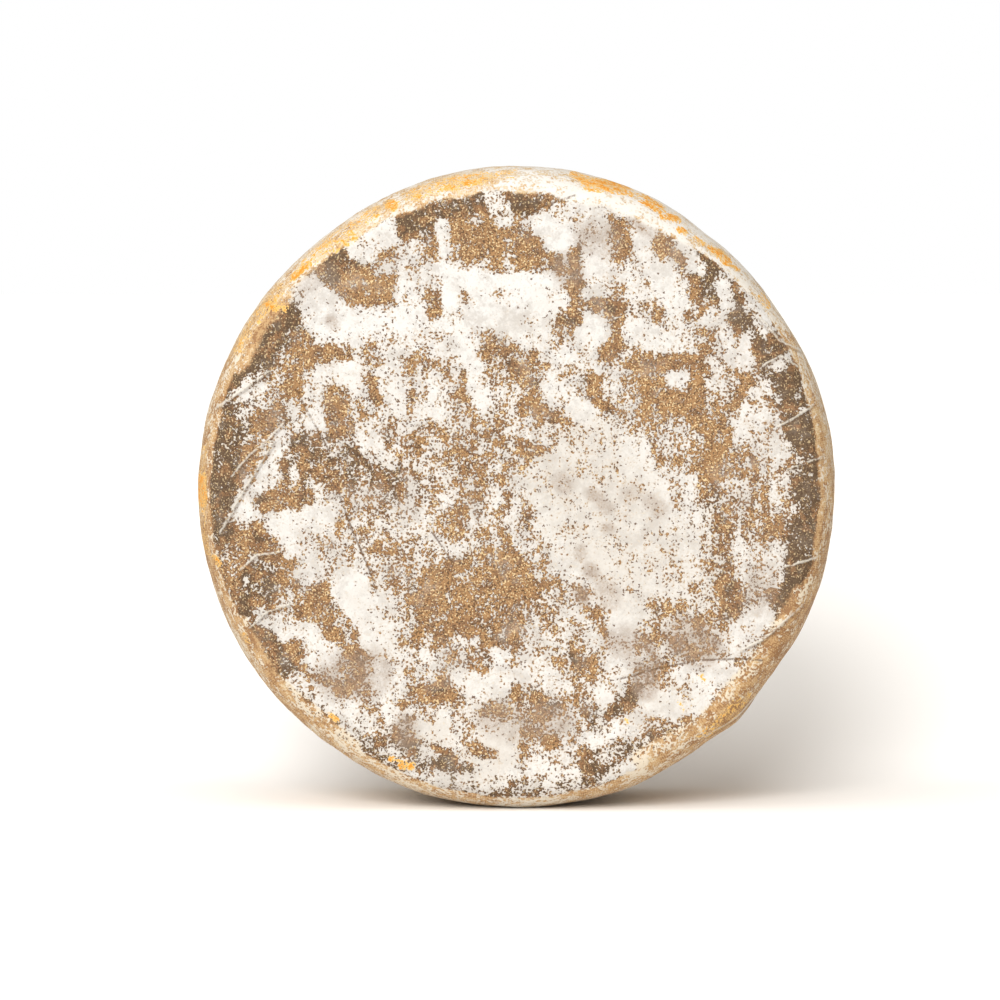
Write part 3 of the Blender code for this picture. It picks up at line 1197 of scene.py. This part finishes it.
felt_body = (attribute("bloom") - 0.5) * PAINT_STRENGTH
felt_body = felt_body + ragged * RAGGED_GAIN + patchy * PATCHY_GAIN
felt_body = felt_body + streaks * STREAK_GAIN * (1.0 - rim) + rim_streaks * RIM_STREAK_GAIN * rim
felt_depth = felt_body + pepper * PEPPER_GAIN + (granules - 0.5) * GRANULE_GAIN
half_edge = rim * SOFTER_ON_RIM + EDGE
felt = felt_depth.step(-half_edge, half_edge)
thick_felt = felt_depth.step(0.0, 0.4)

# Small dark pits in the felt, many at its edge and few where it is thick
pit_is_there = (pit_number - 0.46 - felt_body * 0.9 + patchy * 2.2).step(0.0, 0.08)
pit_size = pits + grain * 2.0 + (pit_number - 0.7) * 0.2
pit = pit_size.step(0.38, 0.26) * pit_is_there * (1.0 - rim)
print(len(tree.nodes), "nodes with the felt's edge")

# %% [markdown]
# ## The colours
#
# The colours are laid on in the order in which the growths cover one another. The crust is at the
# bottom, gold where it was rubbed and dark near the edge, with pale flecks and darker pores, and
# darkened where the raised felt meets it, partly as painted shade. The rim's straw lies over it, then
# the felt, which is white where it is thick and greyer where it is thin, and creamier towards the lower
# right, partly as painted shade. Last come the veils, a dark line of painted shade in each crease, a
# line of painted highlight with painted shade beside it on each fold's crest, and the spots of orange.

# %% Crust
CRUST_GOLD = seen(182, 139, 92)
CRUST_BROWN = seen(155, 114, 76)
CRUST_DARK = seen(100, 78, 54)
CRUST_PIT = seen(80, 56, 37)
CRUST_FLECK = seen(250, 222, 172)

dark = (attribute("dark") + mottle * 2.6 + patchy * 2.0 + 0.03).clamped()
crust = blend(CRUST_GOLD, CRUST_BROWN, dark.step(0.1, 0.5))
crust = crust.over(CRUST_DARK, dark.step(0.5, 1.0))
crust = crust.over(CRUST_PIT, grain.step(-0.01, -0.13) * 0.8)
crust = crust.over(CRUST_PIT, weave.step(0.5, 1.0) * mottle.step(-0.1, 0.15) * 0.3)
crust = crust.over(CRUST_FLECK, flecks.step(0.12, 0.21) * (0.95 - dark * 0.45))
# The crust is darkened where it meets the raised felt: partly painted shade at the felt's edge, partly
# the crust's own dark outline
near_felt = felt_depth.step(-0.3, -0.05)
crust = crust.over(CRUST_PIT, near_felt * 0.3)
print(len(tree.nodes), "nodes with the crust")

# %% Straw on the rim
STRAW = seen(214, 174, 124)
STRAW_DEEP = seen(168, 124, 82)
STRAW_PALE = seen(238, 216, 178)

# The rim's depth map makes the straw paler round the top, partly painted light
straw_tone = rim_streaks + mottle * 1.1 + patchy * 0.4 + grain * 0.8 + attribute("deep") * 0.25
straw_tone = straw_tone + (weave - 0.5) * 0.12
straw = blend(STRAW, STRAW_DEEP, straw_tone.step(0.0, 0.25))
straw = straw.over(STRAW_PALE, straw_tone.step(-0.04, -0.3))
straw_amount = (attribute("straw") + ragged * 0.7 + patchy * 1.2 + pepper * 1.3).step(0.15, 0.75)
crust = crust.over(straw, straw_amount)
print(len(tree.nodes), "nodes with the straw")

# %% Felt
FELT_WHITE = seen(249, 247, 243)
FELT_CREAM_AND_SHADE = seen(229, 223, 214)
FELT_THIN = seen(214, 196, 174)
FELT_GREY = seen(208, 204, 199)
FELT_ON_RIM = seen(245, 230, 204)
PIT = seen(100, 68, 42)

# Cream felt, partly painted shade towards the lower right
cream = (attribute("cream") + mottle * 0.8).clamped()
felt_colour = blend(FELT_WHITE, FELT_CREAM_AND_SHADE, cream)
felt_colour = felt_colour.over(FELT_THIN, (1.0 - thick_felt) * 0.55)
clouding = (patchy + drift * 0.8 + pepper * 0.6).step(-0.08, 0.26)
felt_colour = felt_colour.over(FELT_GREY, clouding * (1.0 - rim) * 0.65)
felt_colour = felt_colour.over(FELT_ON_RIM, straw_amount * (0.6 + attribute("deep") * 0.8))
felt_colour = felt_colour.over(PIT, pit * 0.9)

skin = crust.over(felt_colour, felt)
print(len(tree.nodes), "nodes with the felt")

# %% Veils, creases and crests
HAZE = seen(165, 143, 124)
VEIL = seen(208, 196, 182)
CREASE_SHADE = seen(104, 74, 48)
CREST_HIGHLIGHT = seen(240, 232, 218)

veil = (drift + patchy * 0.5).step(0.0, 0.28) * 0.42
skin = skin.over(VEIL, veil * (1.0 - attribute("straw")) * (1.0 - dark * 0.5))
haze = (attribute("haze") * (1.0 + mottle * 2.0 + grain * 1.5)).clamped()
skin = skin.over(HAZE, haze)

# A dark line along each crease: painted shade in the sunken crease
crease_line = wire.math("ABSOLUTE", attribute("crease_side") + pepper * 0.5)
crease_line = crease_line.step(0.55, 0.15) * attribute("crease").step(0.3, 0.9)
skin = skin.over(CREASE_SHADE, crease_line * 0.75 * (patchy + grain).step(-0.3, 0.1))

# Along each fold's crest a pale line of painted highlight, with a line of painted shade beside it
crest_here = attribute("crest").step(0.2, 0.9) * (patchy + pepper).step(-0.3, 0.0)
crest_offset = attribute("crest_side") + patchy * 1.5
crest_line = wire.math("ABSOLUTE", crest_offset).step(0.6, 0.1) * crest_here
crest_shade = wire.math("ABSOLUTE", crest_offset - 0.9).step(0.6, 0.1) * crest_here
skin = skin.over(CREASE_SHADE, crest_shade * 0.4)
skin = skin.over(CREST_HIGHLIGHT, crest_line * 0.75)
print(len(tree.nodes), "nodes with the veils and lines")

# %% Orange
ORANGE = seen(244, 160, 58)
ORANGE_PALE = seen(252, 208, 128)

orange_here = attribute("orange")
orange_depth = orange_here * 0.8 + (patchy * 2.2 + pepper * 3.2) * (orange_here * 3.0).clamped()
orange_colour = blend(ORANGE_PALE, ORANGE, orange_depth.step(0.55, 1.05))
skin = skin.over(orange_colour, orange_depth.step(0.3, 0.5))
print(len(tree.nodes), "nodes with the orange")

# %% [markdown]
# ## The surface
#
# The felt lies on the crust as a thin raised layer, the pits and creases are sunk in it, and the
# crust is grainy. These heights are far too small for the mesh, so they tilt the light by a bump
# instead. Everything on a rind is dull, and the felt is the dullest.

# %% Relief and shader
RELIEF_STRENGTH = 0.6
RELIEF_DEPTH = 0.35 * MM
CRUST_ROUGHNESS = 0.72
FELT_ROUGHER = 0.2
SHEEN = 0.25

crust_height = grain * 0.5 + weave * 0.12 + mottle * 0.3
felt_height = felt * 0.35 + thick_felt * 0.25 + pepper * 0.2 - pit * 0.3
height = crust_height * (1.0 - felt * 0.7) + felt_height - crease_line * 0.6
height = height + crest_line * 1.2 - crest_shade * 0.4
relief_sockets = {"Strength": RELIEF_STRENGTH, "Distance": RELIEF_DEPTH, "Height": height}
surface_sockets = {
    "Base Color": skin,
    "Roughness": felt * FELT_ROUGHER + CRUST_ROUGHNESS,
    "Specular IOR Level": SHEEN,
    "Normal": wire.node("ShaderNodeBump", None, relief_sockets),
}
shader = wire.node("ShaderNodeBsdfPrincipled", None, surface_sockets)
surface = tree.nodes.new("ShaderNodeOutputMaterial")
tree.links.new(shader.socket, surface.inputs["Surface"])
wheel.data.materials.clear()
wheel.data.materials.append(rind)
print(len(tree.nodes), "nodes in the rind")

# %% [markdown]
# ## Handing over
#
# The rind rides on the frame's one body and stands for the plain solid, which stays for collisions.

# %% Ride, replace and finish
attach(wheel, "root")
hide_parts("cheese_wheel")
